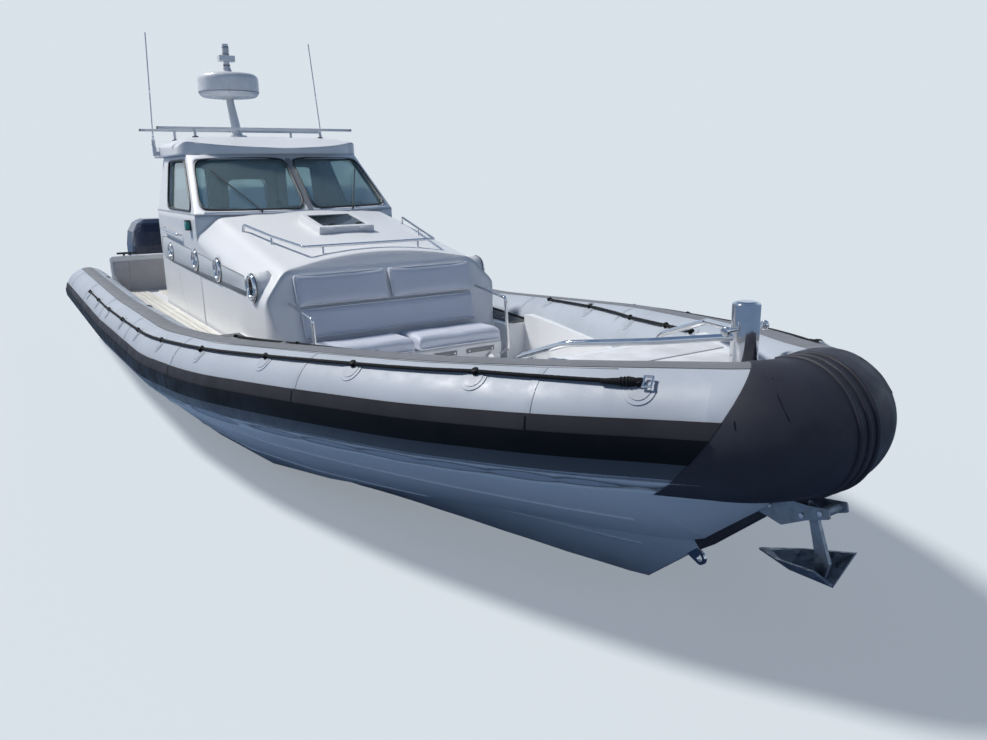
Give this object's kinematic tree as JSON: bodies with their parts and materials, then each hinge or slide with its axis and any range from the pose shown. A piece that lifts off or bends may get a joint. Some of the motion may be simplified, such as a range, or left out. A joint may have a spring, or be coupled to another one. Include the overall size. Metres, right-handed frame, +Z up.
{
  "type": "rigid inflatable cabin boat",
  "caption": "Rigid inflatable cabin boat with deep-V hull, grey collar tube with black nose, white wheelhouse, bow seat, radar mast and tilting, steering outboard engines.",
  "frame": {"origin": "on the centreline at the waterline, amidships", "axes": "+X to the bow, +Y to port, +Z up"},
  "size_m": [10.873, 3.5248, 4.3126],
  "materials": {
    "gelcoat": "polished white gelcoat",
    "tube_fabric": "light grey coated tube fabric, satin",
    "band_fabric": "mid grey wear band, matt",
    "strake_rubber": "black and dark grey rubbing strake",
    "cap_rubber": "charcoal nose fabric, satin",
    "strip_fabric": "glossy grey strip",
    "glass": "tinted marine glass",
    "stainless": "polished stainless steel",
    "galvanised": "galvanised steel, dull",
    "vinyl": "white marine vinyl",
    "rope": "black braided rope",
    "slat": "cream slatted tread",
    "lining": "taupe grey lining panel",
    "black_plastic": "black moulded plastic",
    "dome_plastic": "white moulded plastic",
    "lamp_plastic": "coloured lamp lens in black housing",
    "cowl_paint": "dark navy gloss",
    "engine_paint": "dark navy satin",
    "bracket_paint": "dark satin paint",
    "console_plastic": "dark moulded console",
    "white_alloy": "white painted alloy"
  },
  "bodies": {
    "boat": {"hull": "gelcoat", "deck": "gelcoat", "cabin": "gelcoat", "wheelhouse": "gelcoat", "windows": "glass", "wheelhouse_roof": "gelcoat", "portlights": "stainless", "portlight_glass": "glass", "hatch_frame": "gelcoat", "tube_collar": "tube_fabric", "tube_top_bands": "band_fabric", "upper_strakes": "band_fabric", "rubbing_strakes": "strake_rubber", "lower_strips": "strip_fabric", "lifelines": "rope", "inner_lines": "rope", "nose_cap": "cap_rubber", "stem_plate": "cap_rubber", "bow_eye": "stainless", "bow_roller": "galvanised", "anchor": "galvanised", "samson_post": "stainless", "bow_rails": "stainless", "seat_base": "gelcoat", "seat_cushions": "vinyl", "back_pads": "vinyl", "seat_rails": "stainless", "coachroof_rail": "stainless", "grab_rails": "stainless", "roof_rack": "white_alloy", "antennas": "dome_plastic", "radar_mast": "white_alloy", "radar_dome": "dome_plastic", "mast_light": "dome_plastic", "nav_lights": "lamp_plastic", "cleats": "black_plastic", "wipers": "black_plastic", "cockpit_panel": "lining", "deck_slats": "slat", "helm_console": "console_plastic", "helm_column": "black_plastic", "pilot_seats": "console_plastic", "stbd_bracket": "bracket_paint", "port_bracket": "bracket_paint"},
    "hatch": {"hatch_lid": "gelcoat", "hatch_glass": "glass"},
    "door": {"cabin_door": "gelcoat", "door_glass": "glass"},
    "helm": {"steering_wheel": "black_plastic"},
    "stbd_tilt": {"stbd_swivel": "bracket_paint"},
    "stbd_engine": {"stbd_leg": "engine_paint", "stbd_cowl": "cowl_paint"},
    "stbd_prop": {"stbd_propeller": "stainless"},
    "port_tilt": {"port_swivel": "bracket_paint"},
    "port_engine": {"port_leg": "engine_paint", "port_cowl": "cowl_paint"},
    "port_prop": {"port_propeller": "stainless"}
  },
  "joints": [
    {"name": "hatch_hinge", "type": "hinge", "parent": "boat", "child": "hatch", "pos_m": [-0.0786, 0, 1.5385], "axis": [0, 1, 0], "range_deg": [0, 75]},
    {"name": "door_hinge", "type": "hinge", "parent": "boat", "child": "door", "pos_m": [-2.9013, 0.34, 1.37], "axis": [0, 0, -1], "range_deg": [0, 110]},
    {"name": "helm_turn", "type": "hinge", "parent": "boat", "child": "helm", "pos_m": [-1.58, -0.47, 1.42], "axis": [-0.9, 0, 0.436], "range_deg": [-540, 540]},
    {"name": "stbd_tilt_hinge", "type": "hinge", "parent": "boat", "child": "stbd_tilt", "pos_m": [-5.3, -0.54, 0.4], "axis": [0, 1, 0], "range_deg": [0, 62]},
    {"name": "stbd_steer_hinge", "type": "hinge", "parent": "stbd_tilt", "child": "stbd_engine", "pos_m": [-5.42, -0.54, 0.3], "axis": [0, 0, 1], "range_deg": [-30, 30]},
    {"name": "stbd_prop_shaft", "type": "hinge", "parent": "stbd_engine", "child": "stbd_prop", "pos_m": [-5.86, -0.54, -0.69], "axis": [1, 0, 0], "continuous": true},
    {"name": "port_tilt_hinge", "type": "hinge", "parent": "boat", "child": "port_tilt", "pos_m": [-5.3, 0.54, 0.4], "axis": [0, 1, 0], "range_deg": [0, 62]},
    {"name": "port_steer_hinge", "type": "hinge", "parent": "port_tilt", "child": "port_engine", "pos_m": [-5.42, 0.54, 0.3], "axis": [0, 0, 1], "range_deg": [-30, 30]},
    {"name": "port_prop_shaft", "type": "hinge", "parent": "port_engine", "child": "port_prop", "pos_m": [-5.86, 0.54, -0.69], "axis": [1, 0, 0], "continuous": true}
  ],
  "couplings": [
    {"joint": "port_steer_hinge", "follows": "stbd_steer_hinge", "ratio": 1},
    {"joint": "helm_turn", "follows": "stbd_steer_hinge", "ratio": -18}
  ]
}
